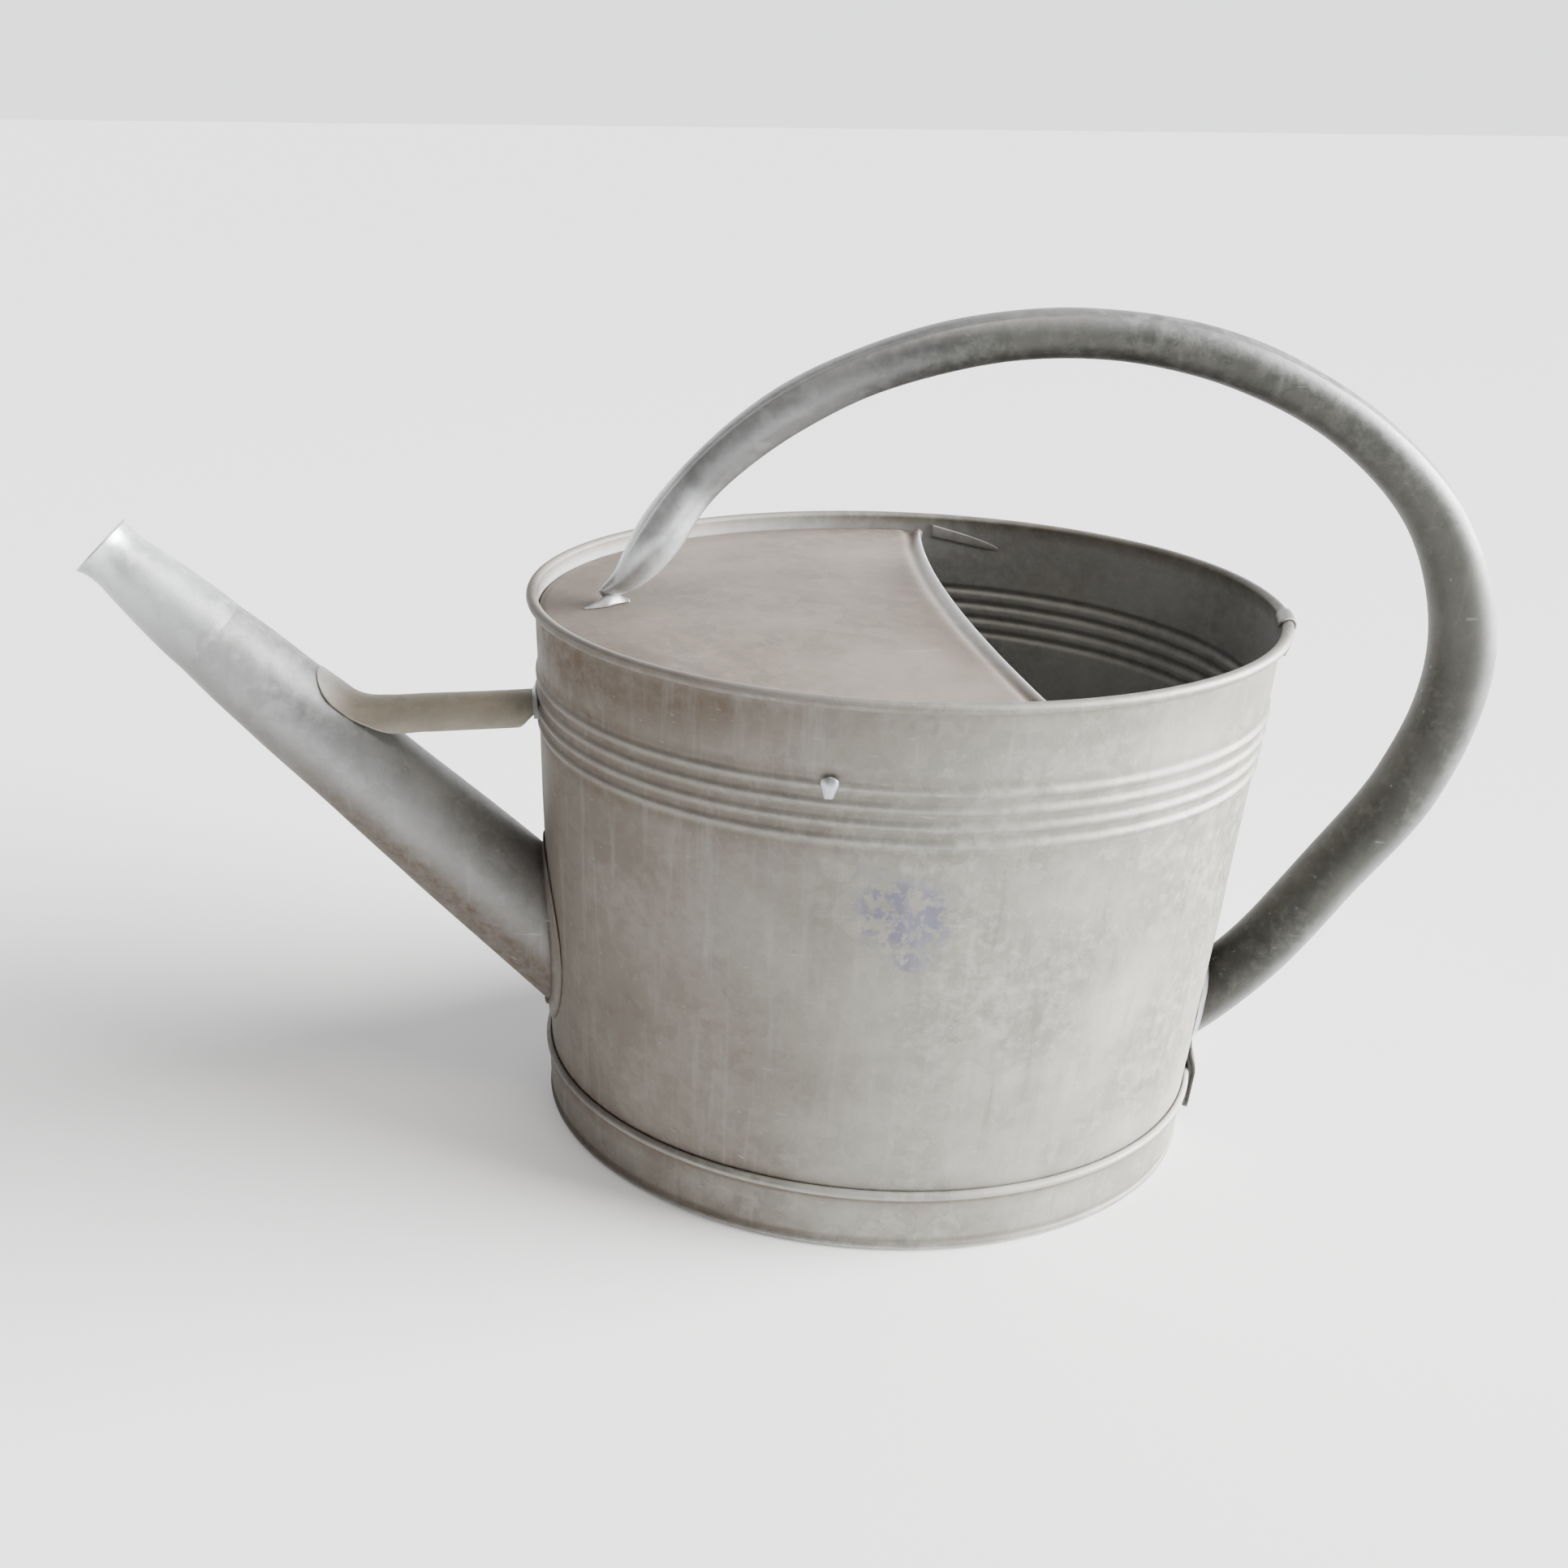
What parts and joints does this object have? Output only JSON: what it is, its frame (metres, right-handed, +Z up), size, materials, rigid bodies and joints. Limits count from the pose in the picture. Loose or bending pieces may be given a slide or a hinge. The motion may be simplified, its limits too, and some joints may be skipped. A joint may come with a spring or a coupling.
{
  "type": "watering can",
  "caption": "Oval galvanised watering can with a wired rim, half cover, long conical spout on a strut and one tall hoop handle.",
  "frame": {"origin": "on the ground, under the middle of the whole can's box", "axes": "+X from the spout towards the handle, +Y to the back as the spout points left, +Z up"},
  "size_m": [0.6042, 0.2506, 0.3819],
  "materials": {
    "zinc_body": "aged galvanised sheet steel, dull mottled grey",
    "zinc_cover": "aged galvanised sheet steel, warm grey",
    "zinc_spout": "aged galvanised sheet steel, bluish grey",
    "zinc_handle": "aged galvanised sheet steel, dark grey",
    "zinc_dull": "stained galvanised sheet steel",
    "steel_wire": "galvanised steel wire",
    "solder": "dull tin-lead solder"
  },
  "bodies": {
    "root": {"body_wall": "zinc_body", "rim_wire": "steel_wire", "seam_clip": "zinc_body", "base_plate": "zinc_dull", "foot_band": "zinc_body", "foot_wire": "steel_wire", "cover": "zinc_cover", "cover_lip_wire": "steel_wire", "cover_tab_rear": "zinc_cover", "cover_tab_front": "zinc_cover", "spout_tube": "zinc_spout", "spout_nozzle": "zinc_spout", "spout_collar": "zinc_spout", "strut": "zinc_dull", "handle_tube": "zinc_handle", "handle_tongue": "zinc_handle", "solder_handle_rear": "solder", "solder_handle_front": "solder", "solder_repair_dab": "solder", "solder_strut_wall": "solder"}
  },
  "joints": []
}
